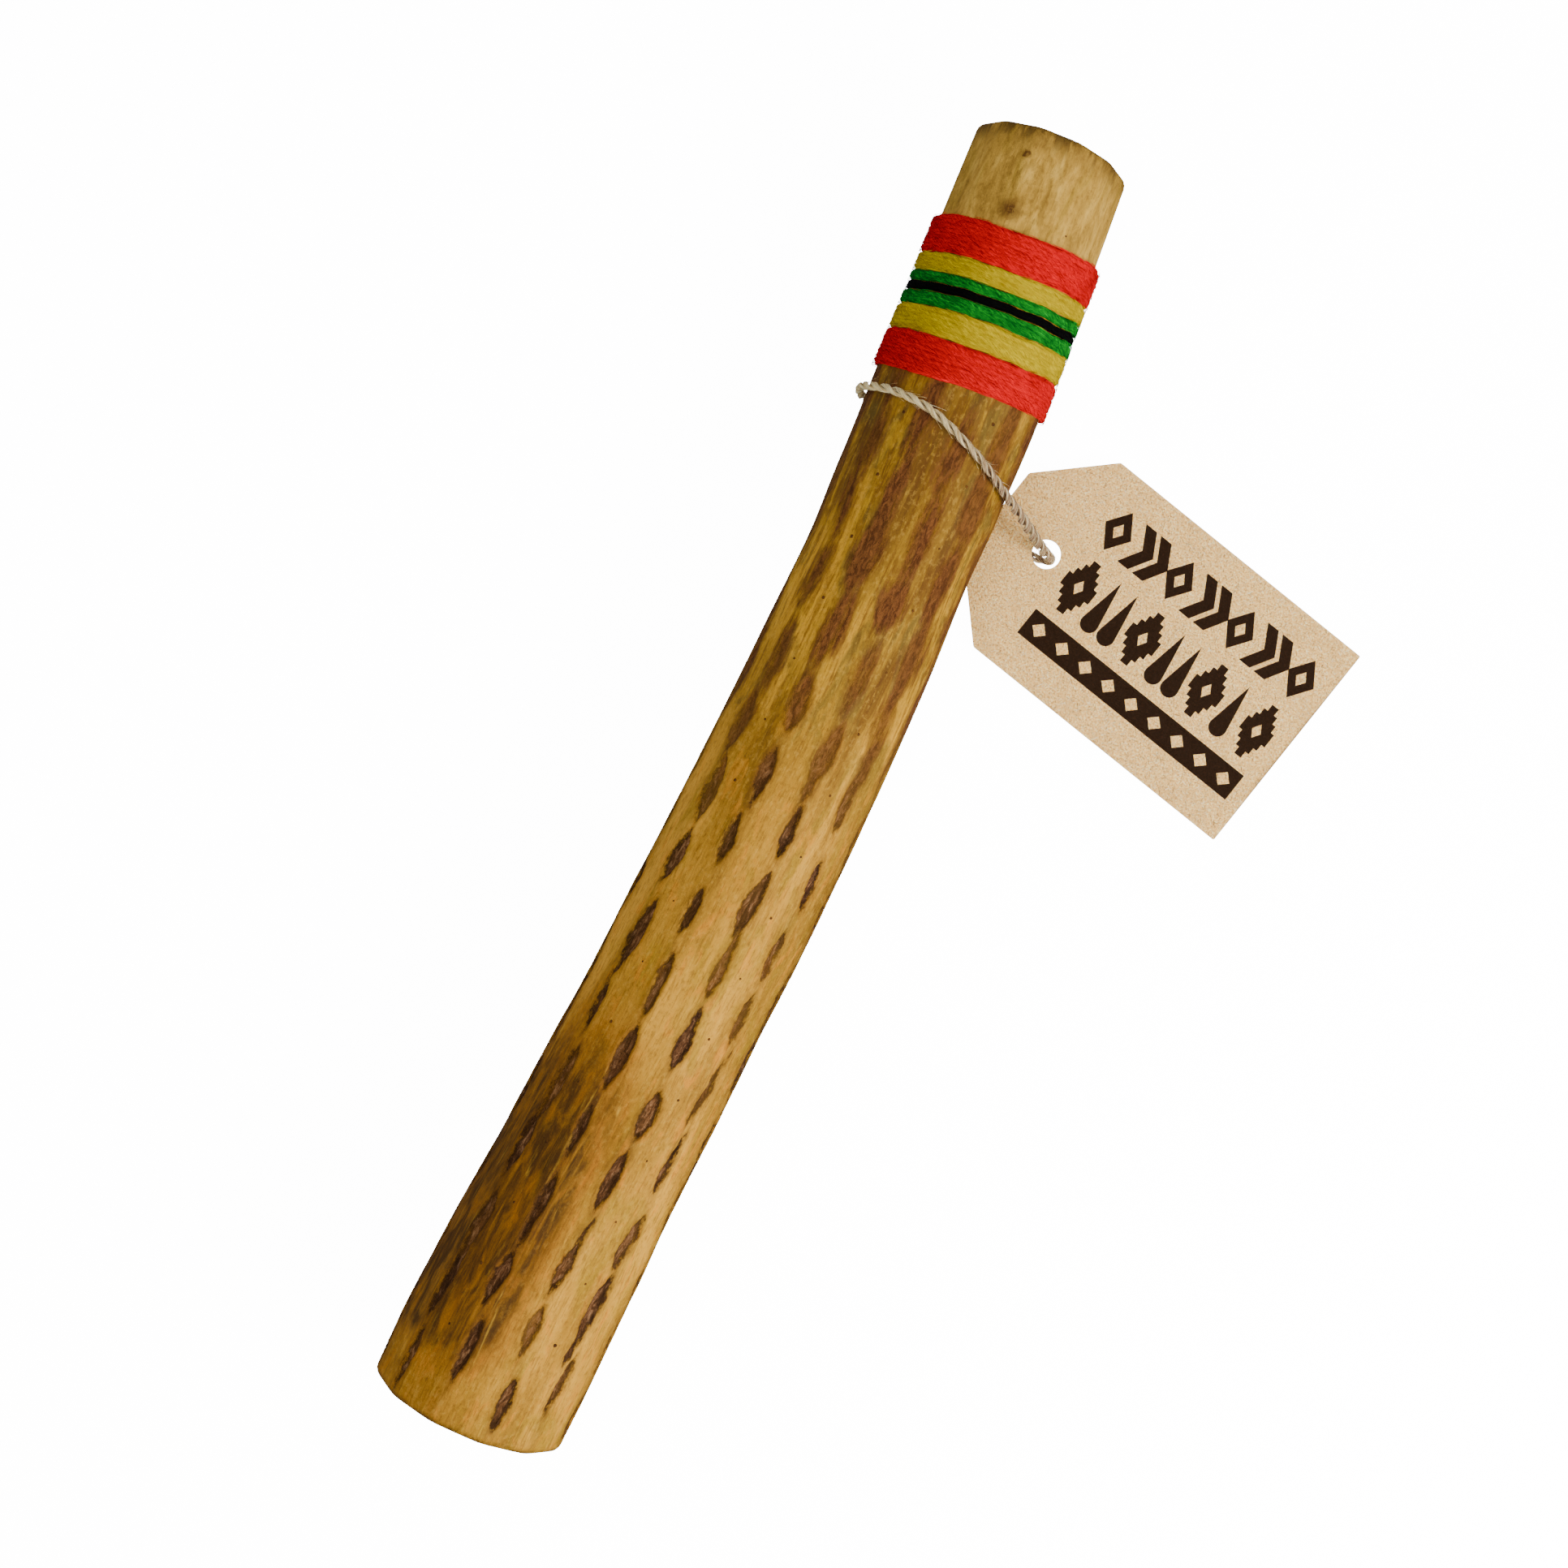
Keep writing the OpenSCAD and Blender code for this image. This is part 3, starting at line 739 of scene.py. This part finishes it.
# one side of the lower half is darker: partly a stain in the wood, partly painted shade of the side
# turned from the key light
stain = ease(np.cos(loop_a - 38 * DEG), 0.30, 0.93) * ease(-loop_x, 60 * MM, 165 * MM)
stain = stain * (1 - 0.75 * ease(-loop_x, 216 * MM, 238 * MM))
rim_near = np.minimum(np.abs(loop_x - WIDE_X), np.abs(loop_x - NARROW_X) / 3.4)
sawn_share = np.zeros(len(wood_points))
sawn_share[skin_count + 3 * AROUND:-3 * AROUND] = 1
cactus = make_mesh(
    "cactus_tube_skin", wood_points, lattice(len(loops), AROUND, True), cactus_material(),
    grain=columns(loop_x, *polar(loop_r, loop_a)),
    pit=over_skin(pit_field, -5 * MM) / MM,
    dark=over_skin(pit_dark, 0.8),
    lane=over_skin(lane, 0.0),
    stain=stain,
    soft=upper_share(loop_x),
    crown=ease(loop_x, 205 * MM, 212 * MM),
    oval=over_skin(oval_at, 0.2),
    rim=1 - ease(rim_near, 0.6 * MM, 3.2 * MM),
    sawn=sawn_share,
)
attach(cactus, "stick")
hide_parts("cactus_tube")

# ---- thorn ends in the wood
THORN_ROWS, THORNS, THORN_FIRST, THORN_PITCH = 6, 19, -228 * MM, 24 * MM


def speckled(name, scale, dark, light, rough, bump, **values):
    """A plain material that clouds between two colours, each given with its place on the noise."""
    g = Graph(name)
    tone = g.noise(g.object_place(), (scale, scale, scale), 3)
    return g.finish(g.ramp(tone, dark, light), g.line(tone, *rough), g.bump(tone, *bump), **values)


thorn_horn = speckled("thorn_horn", 900, (0.35, (0.20, 0.11, 0.03)), (0.65, (0.38, 0.24, 0.08)),
                      (0.2, 0.7), (0.5, 0.0001), Specular_IOR_Level=0.1)
dots = Parts()
for row in range(THORN_ROWS):
    angle = row * 60 * DEG
    for i in range(THORNS):
        x = THORN_FIRST + row % 3 * THORN_PITCH / 3 + i * THORN_PITCH
        if BAND_LOW - MM < x < BAND_HIGH + MM:
            continue
        surface = float(wood_radius(np.float64(x), angle))
        size = rng.uniform(0.4, 0.75) * MM
        spin = circle(12)
        rings = []
        for share, rise in ((1.0, -0.5), (1.0, 0.0), (0.85, 0.16), (0.45, 0.26)):
            radius = size * share * (1 + 0.08 * np.cos(3 * spin + row))
            rings.append(place(x + radius * np.cos(spin), angle + radius * np.sin(spin) / surface,
                               surface + rise * size))
        dots.add(np.concatenate(rings), capped(4, 12))
thorn_ends = dots.build("thorn_ends", thorn_horn)
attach(thorn_ends, "stick")

# ---- yarn
YARN = (
    # node, slot, width in mm, strands, how far it stands proud in mm
    ("yarn_red_upper", "yarn_red", 14.5, 7, 3.2),
    ("yarn_yellow_upper", "yarn_yellow", 7, 4, 3.0),
    ("yarn_green_upper", "yarn_green", 4, 2, 2.95),
    ("yarn_black", "yarn_black", 3.5, 2, 2.7),
    ("yarn_green_lower", "yarn_green", 5.5, 3, 3.0),
    ("yarn_yellow_lower", "yarn_yellow", 10, 5, 3.0),
    ("yarn_red_lower", "yarn_red", 14.5, 7, 3.2),
)
YARN_COLOURS = {
    # dark, middle and light
    "yarn_red": ((0.50, 0.0, 0.02), (0.84, 0.0, 0.07), (0.96, 0.06, 0.12)),
    "yarn_yellow": ((0.58, 0.47, 0.0), (0.74, 0.64, 0.0), (0.92, 0.82, 0.0)),
    "yarn_green": ((0.0, 0.18, 0.03), (0.0, 0.42, 0.10), (0.12, 0.76, 0.22)),
    "yarn_black": ((0.0, 0.0, 0.0), (0.012, 0.012, 0.014), (0.05, 0.055, 0.05)),
}
STRAND_SIDES, STEPS_PER_TURN, FIBRES_PER_MM = 10, 112, 150
# a strand's radius as a share of its pitch, the lay of its twist, and the band's mean radius
FULLNESS, STRAND_LAY, BAND_GIRTH = 0.60, 7 * MM, 1.12 * NARROW_RADIUS
SUNK = -0.7 * MM


def yarn_material(slot, dark, middle, light):
    g = Graph(slot)
    fibre = g.attribute("fibre", "Vector")
    streak = g.noise(fibre, (170, 2.2, 3), 4, 0.65)
    hair = g.noise(fibre, (420, 7, 5), 3, 0.65)
    cloud = g.noise(g.object_place(), 90, 3)
    colour = g.ramp(streak, (0.36, dark), (0.50, middle), (0.66, light))
    colour = g.tint(colour, light, hair, 0.54, 0.70, 0.5)
    colour = g.tint(colour, dark, hair, 0.46, 0.32, 0.55)
    colour = g.tint(colour, dark, cloud, 0.50, 0.72, 0.30)
    return g.finish(colour, g.line(hair, 0.15, 0.8),
                    g.bump(g.line(hair, 0.6, streak), 1.0, 0.0005), Specular_IOR_Level=0.04)


def waver(x, angle):
    """How far the windings wander along the stick; the same for every colour, so none parts."""
    at = columns(*polar(1.4, angle), x / (17 * MM))
    return 0.8 * MM * ripple(at, 1.0, 2.5) + 0.45 * MM * ripple(at * (3.3, 3.3, 2.0), 1.0, 6.1)


def lift(x, angle):
    at = columns(*polar(2.6, angle), x / (2.5 * MM))
    return 0.13 * MM * ripple(at, 1.0, 8.5)


def wound(x, angle, proud):
    """Points of the band: like place, but with the windings' own turn and lean."""
    x, angle, proud = np.broadcast_arrays(x, angle, proud)
    # pulled tight over the wood, but full size below, where the stick rests on it
    proud = proud - 1.2 * MM * ease(np.sin(angle), -0.85, -0.3)
    slide = math.sin(BAND_TURN) * np.cos(angle) + math.tan(BAND_LEAN) * np.sin(angle)
    here = x - mean_radius(x) * slide
    return place(here, angle, mean_radius(here) + RIB_CREST + proud)


yarn_materials = {slot: yarn_material(slot, *shades) for slot, shades in YARN_COLOURS.items()}
end = BAND_HIGH
rng = np.random.default_rng(77)
for node, slot, width, turns, proud in YARN:
    width, proud = width * MM, proud * MM
    pitch = width / turns
    radius = pitch * FULLNESS
    winding = Parts()
    # packing under the strands, so that no wood shows between them
    ring_a = circle(STEPS_PER_TURN)
    profile = []
    first, last, top = end - width + 0.3 * MM, end - 0.3 * MM, proud - radius * 0.8
    for x, rise in ((first, SUNK), (first, top), (last, top), (last, SUNK)):
        profile.append(wound(x + waver(np.full(STEPS_PER_TURN, x), ring_a), ring_a, rise))
    packing = np.concatenate(profile)
    winding.add(packing, lattice(4, STEPS_PER_TURN, True), fibre=columns(
        np.tile(ring_a, 4) * 30 * MM, np.repeat([0, 1, 2, 3], STEPS_PER_TURN), np.zeros(len(packing))))
    # the strand, wound from the underside
    t = np.arange(turns * STEPS_PER_TURN + 1) / STEPS_PER_TURN
    angle = -90 * DEG + TURN * t
    x = end - pitch / 2 - (width - pitch) * t / turns
    x += waver(x, angle)
    middle = proud - radius + lift(x, angle)
    around = circle(STRAND_SIDES)
    length_along = TURN * t * BAND_GIRTH
    twist = TURN * length_along / STRAND_LAY
    girth_now = radius * (1 + 0.07 * np.cos(3 * (around[None, :] - twist[:, None])))
    girth_now *= (1 + 0.06 * wander(length_along, 220, width * 90, 4))[:, None]
    points = wound(x[:, None] + girth_now * np.cos(around), angle[:, None],
                   middle[:, None] + girth_now * np.sin(around))
    keep_above(points, FLOOR_GAP)
    slanted = (around[None, :] - 0.55 * twist[:, None]).ravel()
    winding.add(points, capped(len(t), STRAND_SIDES),
                fibre=columns(np.repeat(length_along, STRAND_SIDES), *polar(2, slanted)))
    # fibres that lie aslant over the strands, as the twist of the wool leaves them
    s = np.linspace(0, 1, 6)
    thin = np.array([0.04, 0.085, 0.095, 0.085, 0.06, 0.025]) * MM
    for _ in range(int(width / MM * FIBRES_PER_MM)):
        fa = rng.uniform(0, TURN) + rng.uniform(2.5, 7) * MM / NARROW_RADIUS * s
        x0 = end - width * rng.random()
        fx = x0 - rng.normal(0.9, 0.5) * MM * s ** rng.uniform(0.8, 1.3)
        # height of the rounded strands under the fibre
        turn_share = ((fa + 90 * DEG) / TURN) % 1
        across_strand = ((end - fx) / pitch - turn_share * (1 - 1 / turns) + 0.5) % 1 - 0.5
        crown_height = radius * np.sqrt(1 - np.minimum(np.abs(across_strand) * 1.6, 0.9) ** 2)
        crown_height = (crown_height + radius) / 2
        loose = abs(rng.normal(0, 0.08)) * MM * np.sin(math.pi * s)
        if rng.random() < 0.08:
            loose = rng.uniform(0.2, 0.8) * MM * s ** 1.5
        fx = np.clip(fx, end - width - 0.2 * MM, end + 0.2 * MM)
        line = wound(fx + waver(fx, fa), fa, proud - radius + crown_height + loose + 0.03 * MM)
        keep_above(line, 0.13 * MM)
        points, faces = tube(line, thin * rng.uniform(0.6, 1.15), 3, (0.3, 0.2, 0.93))
        winding.add(points, faces, fibre=np.tile(rng.random(3) * (0.3, 30, 30), (len(points), 1)))
    piece = winding.build(node + "_wound", yarn_materials[slot])
    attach(piece, "stick")
    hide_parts(node)
    end -= width

# ---- tag
TAG_LENGTH, TAG_WIDTH, TAG_CHAMFER, CARD = 143 * MM, 90 * MM, 25 * MM, 0.8 * MM
TAG_HOLE, TAG_INSET = 5.6 * MM, 24.6 * MM
DROP_SIDES, STEPS, CORNER = 20, 4, 0.7
TAG_AT, TAG_TURN, TAG_TILT = np.array((123.5, -59.9, 3.1)) * MM, -103.7 * DEG, 1.3 * DEG


def chevron(x, y, w, h, thick):
    """A thick arrowhead that points along the row; x, y is its box's middle."""
    tip, back = x + w / 2, x - w / 2
    return [(back, y - h / 2), (back + thick, y - h / 2), (tip, y), (back + thick, y + h / 2),
            (back, y + h / 2), (tip - thick, y)]


def diamond(x, y, w, h):
    return [(x - w / 2, y), (x, y - h / 2), (x + w / 2, y), (x, y + h / 2)]


def drop(x, y, w, h):
    """A raindrop with its point up."""
    low = y - h / 2 + w / 2
    turn = math.asin(min(0.99, (w / 2) / (h - w / 2)))
    out = [(x, y + h / 2)]
    for k in range(DROP_SIDES + 1):
        a = math.pi - turn + k * (math.pi + 2 * turn) / DROP_SIDES
        out.append((x + w / 2 * math.cos(a), low + w / 2 * math.sin(a)))
    return out


def stepped(x, y, w, h):
    """A diamond with stepped sides."""
    right = []
    for k in range(STEPS):
        half, top = w / 2 * (k + 1) / STEPS, y + h / 2 - h / 2 * k / STEPS
        right += [(half, top), (half, top - h / 2 / STEPS)]
    upper = [(x + a, b) for a, b in right]
    lower = [(x + a, 2 * y - b) for a, b in reversed(right)]
    left = [(2 * x - a, b) for a, b in reversed(upper + lower)]
    outline = upper + lower + left
    return [p for i, p in enumerate(outline) if p != outline[i - 1]]


def motifs():
    """Outlines of the printed pattern in mm: rows of plain shapes, and a bar with diamonds left out."""
    shapes, holes = [], []
    top, row = 24.0, 18.0
    for x in (16.0, 46.0, 76.0, 106.0):
        shapes.append(diamond(x, top, 12.4, row))
        holes.append(diamond(x, top, 4.6, 6.6))
    shapes += [chevron(x, top, 10.4, row, 5.2) for x in (27.8, 35.0, 57.8, 65.0, 87.8, 95.0)]
    middle, row = -2.2, 23.5
    for x in (17.6, 49.0, 80.4, 105.2):
        shapes.append(stepped(x, middle, 13.6 if x < 100 else 12.6, row))
        holes.append(diamond(x, middle, 4.0, 6.4))
    shapes += [drop(x, middle, 7.2, row) for x in (29.4, 37.4, 60.8, 68.8, 92.6)]
    shapes.append([(9.9, -30.2), (112.2, -30.2), (112.2, -18.6), (9.9, -18.6)])
    holes += [diamond(16.0 + k * 11.3, -24.4, 6.4, 6.2) for k in range(9)]
    return shapes, holes


def inside(points, outline):
    """Whether each point lies inside the outline, by counting the sides it passes."""
    x, y = points[:, 0], points[:, 1]
    odd = np.zeros(len(points), bool)
    ring = np.asarray(outline)
    for (ax, ay), (bx, by) in zip(ring, np.roll(ring, -1, 0)):
        if ay == by:
            continue
        odd ^= ((ay > y) != (by > y)) & (x < (bx - ax) * (y - ay) / (by - ay) + ax)
    return odd


def tag_outline():
    near, far, half = -TAG_INSET / MM, (TAG_LENGTH - TAG_INSET) / MM, TAG_WIDTH / 2 / MM
    cut = TAG_CHAMFER / MM
    corners = [(near, cut - half), (near + cut, -half), (far, -half), (far, half),
               (near + cut, half), (near, half - cut)]
    out = []
    for i, corner in enumerate(corners):
        p, a, b = np.array(corner), np.array(corners[i - 1]), np.array(corners[(i + 1) % 6])
        first, last = (p + (q - p) / np.linalg.norm(q - p) * CORNER for q in (a, b))
        for t in (0, 0.33, 0.67, 1):
            out.append(tuple((1 - t) ** 2 * first + 2 * t * (1 - t) * p + t * t * last))
    return out


def card_points(flat, height):
    """Lifts flat points of the tag, in mm, to the row frame; the card is very slightly curled."""
    x, y = flat[:, 0], flat[:, 1]
    curl = 0.55 * ((x - 45) / 73) ** 2 * (y / 45) ** 2 + 0.25 * np.sin(x / 31.0) * (y / 45)
    curl *= ease(np.hypot(x, y), 8, 30)
    local = columns(x, y, height + np.maximum(curl, -0.1)) * MM
    a, b, c = local.T
    a, c = turned(a, c, -TAG_TILT)
    made = columns(*turned(a, b, TAG_TURN), c) + TAG_AT
    keep_above(made, FLOOR_GAP + (height > 0) * (CARD - FLOOR_GAP))
    return made


def kraft_material():
    g = Graph("kraft_card")
    sheet = g.attribute("sheet", "Vector")
    cloud = g.noise(sheet, 0.09, 4, 0.6)
    grain = g.noise(sheet, 1.25, 5, 0.78, 0.6)
    colour = g.ramp(grain, (0.36, (0.70, 0.51, 0.28)), (0.50, (0.97, 0.755, 0.44)),
                    (0.64, (1.0, 0.93, 0.66)))
    colour = g.tint(colour, (0.84, 0.66, 0.40), cloud, 0.42, 0.68, 0.4)
    height = grain
    for turn, dark in ((0.3, False), (1.25, True), (2.1, False), (2.8, True), (0.8, True)):
        spun = g.node("VectorRotate", {"Vector": sheet, "Angle": turn},
                      rotation_type="Z_AXIS").outputs[0]
        fleck = g.noise(spun, (0.42, 2.9, 1), 1.0, 0.5, 0.7)
        mask = g.times(g.step(fleck, 0.64, 0.72), 0.62)
        colour = g.mix(mask, colour, (0.50, 0.33, 0.17) if dark else (1.0, 0.95, 0.78))
        height = g.line(mask, 0.5, height)
    ink_mask = g.step(g.ruffled(g.attribute("ink"), grain, 0.5), 0.35, 0.65)
    ink_colour = g.mix(g.step(grain, 0.45, 0.75), (0.12, 0.055, 0.0), (0.19, 0.10, 0.03))
    colour = g.mix(ink_mask, colour, ink_colour)
    return g.finish(colour, g.line(ink_mask, -0.12, 0.82),
                    g.bump(height, 0.8, 0.0003), Specular_IOR_Level=0.1)


shapes, holes = motifs()
outline = tag_outline()
punched = [(TAG_HOLE / MM * math.cos(k * math.pi / 32), TAG_HOLE / MM * math.sin(k * math.pi / 32))
           for k in range(64)]
flat_points, flat_edges = [], []
for ring in [outline, punched] + shapes + holes:
    first = len(flat_points)
    flat_points += ring
    flat_edges += [(first + k, first + (k + 1) % len(ring)) for k in range(len(ring))]
spacing = 3.0
for gx in np.arange(-TAG_INSET / MM + 1.5, (TAG_LENGTH - TAG_INSET) / MM, spacing):
    for gy in np.arange(-43.5, 44, spacing):
        flat_points.append((gx + 0.31 * math.sin(gy), gy + 0.29 * math.cos(gx)))
flat_made, _, flat_faces, _, _, _ = geometry.delaunay_2d_cdt(
    [Vector(p) for p in flat_points], flat_edges, [], 0, 1e-5)
flat_made = np.array([tuple(p) for p in flat_made])
flat_faces = np.array(flat_faces)
middles = flat_made[flat_faces].mean(1)
kept = inside(middles, outline) & ~inside(middles, punched)
flat_faces, middles = flat_faces[kept], middles[kept]
inked = np.zeros(len(flat_faces), bool)
for ring in shapes:
    inked |= inside(middles, ring)
for ring in holes:
    inked &= ~inside(middles, ring)
used = np.unique(flat_faces)
renumber = np.full(len(flat_made), -1)
renumber[used] = np.arange(len(used))
flat_made, flat_faces = flat_made[used], renumber[flat_faces]
sides = dict.fromkeys((int(a), int(b)) for f in flat_faces for a, b in zip(f, np.roll(f, -1)))
border = [(a, b) for a, b in sides if (b, a) not in sides]
count = len(flat_made)
# the printed faces have their own points, so that the ink ends sharply at its outline
ink_points = np.unique(flat_faces[inked])
ink_number = np.full(count, -1)
ink_number[ink_points] = 2 * count + np.arange(len(ink_points))
top_faces = [list(ink_number[f]) if ink else list(f) for f, ink in zip(flat_faces, inked)]
bottom_faces = [[int(k) + count for k in reversed(f)] for f in flat_faces]
wall_faces = [[b, a, a + count, b + count] for a, b in border]
card_all = np.concatenate([card_points(flat_made, CARD / MM), card_points(flat_made, 0.0),
                           card_points(flat_made[ink_points], CARD / MM)])
flat_all = np.concatenate([flat_made, flat_made, flat_made[ink_points]])
tag = make_mesh("tag_card", card_all, top_faces + bottom_faces + wall_faces, kraft_material(),
                smooth=False, sheet=columns(*flat_all.T, np.zeros(len(flat_all))),
                ink=np.concatenate([np.zeros(2 * count), np.ones(len(ink_points))]))
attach(tag, "tag")
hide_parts("tag")


# ---- plugs, glue, thorns and pebbles
def plug_material():
    g = Graph("plug_end_grain")
    at = g.object_place()
    wobble = g.noise(at, (0, 90, 90), 3)
    from_pith = g.vector("ADD", at, (0, -0.009, -0.021))
    away = g.vector("LENGTH", g.scaled(from_pith, (0, 1, 1)), out="Value")
    rings = g.math("SINE", g.line(away, 1900, g.times(wobble, 16)))
    pores = g.noise(at, (300, 1500, 1500), 3, 0.6)
    colour = g.ramp(g.line(rings, 0.5, 0.5), (0.0, (0.60, 0.42, 0.20)),
                    (0.55, (0.76, 0.57, 0.30)), (1.0, (0.82, 0.65, 0.38)))
    colour = g.tint(colour, (0.36, 0.22, 0.11), pores, 0.55, 0.70, 0.5)
    height = g.line(rings, 0.3, pores)
    return g.finish(colour, g.line(pores, 0.2, 0.55), g.bump(height, 0.5, 0.0003))


def pebble_material():
    g = Graph("river_pebble")
    at = g.object_place()
    tone = g.noise(at, (260, 260, 260), 2)
    fleck = g.noise(at, (2400, 2400, 2400), 3)
    colour = g.ramp(tone, (0.3, (0.30, 0.29, 0.28)), (0.5, (0.52, 0.49, 0.45)),
                    (0.7, (0.70, 0.64, 0.56)))
    colour = g.mix(g.step(fleck, 0.6, 0.7), colour, (0.82, 0.79, 0.74))
    return g.finish(colour, g.line(fleck, 0.3, 0.35), g.bump(fleck, 0.4, 0.0001))


amber_glue = speckled("amber_glue", 350, (0.3, (0.40, 0.24, 0.08)), (0.7, (0.66, 0.46, 0.20)),
                      (0.25, 0.2), (0.6, 0.0003))
CARRIED = (
    (plug_material(), "wide_end_plug", "narrow_end_plug"),
    (amber_glue, "wide_end_glue", "narrow_end_glue"),
    (pebble_material(), "pebbles_left", "pebbles_middle", "pebbles_right"),
    (thorn_horn, *(f"thorn_row_{row}" for row in range(1, THORN_ROWS + 1))),
)
for material, *nodes in CARRIED:
    for node in nodes:
        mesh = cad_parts[node].data
        mesh.materials.clear()
        mesh.materials.append(material)


# ---- studio floor
FLOOR_SIZE, FLOOR_Z, LONG, HIGH = 6.0, -0.3 * MM, 32, 9


def studio_material():
    g = Graph("studio_white")
    tone = g.noise(g.object_place(), (3, 3, 3))
    return g.finish(g.mix(tone, (0.95, 0.95, 0.95), (0.936, 0.936, 0.936)), 0.7,
                    Emission_Color=(1, 1, 1, 1), Emission_Strength=14.0)


pale = studio_material()
corners = ((-1, -1), (1, -1), (1, 1), (-1, 1))
floor = make_mesh("floor", [(FLOOR_SIZE * a, FLOOR_SIZE * b, FLOOR_Z) for a, b in corners],
                  [(0, 1, 2, 3)], pale)
turn = circle(LONG)
dome_rings = [columns(*polar(math.cos(up), turn), np.full(LONG, math.sin(up)))
              for up in np.linspace(-0.02, 1.55, HIGH)]
dome = make_mesh("backdrop", np.concatenate(dome_rings) * FLOOR_SIZE * 0.9, lattice(HIGH, LONG), pale)
# the studio is seen as white, but lights nothing: the lamps and the world do that
for studio in (floor, dome):
    studio.visible_diffuse = studio.visible_glossy = False
dome.visible_shadow = False
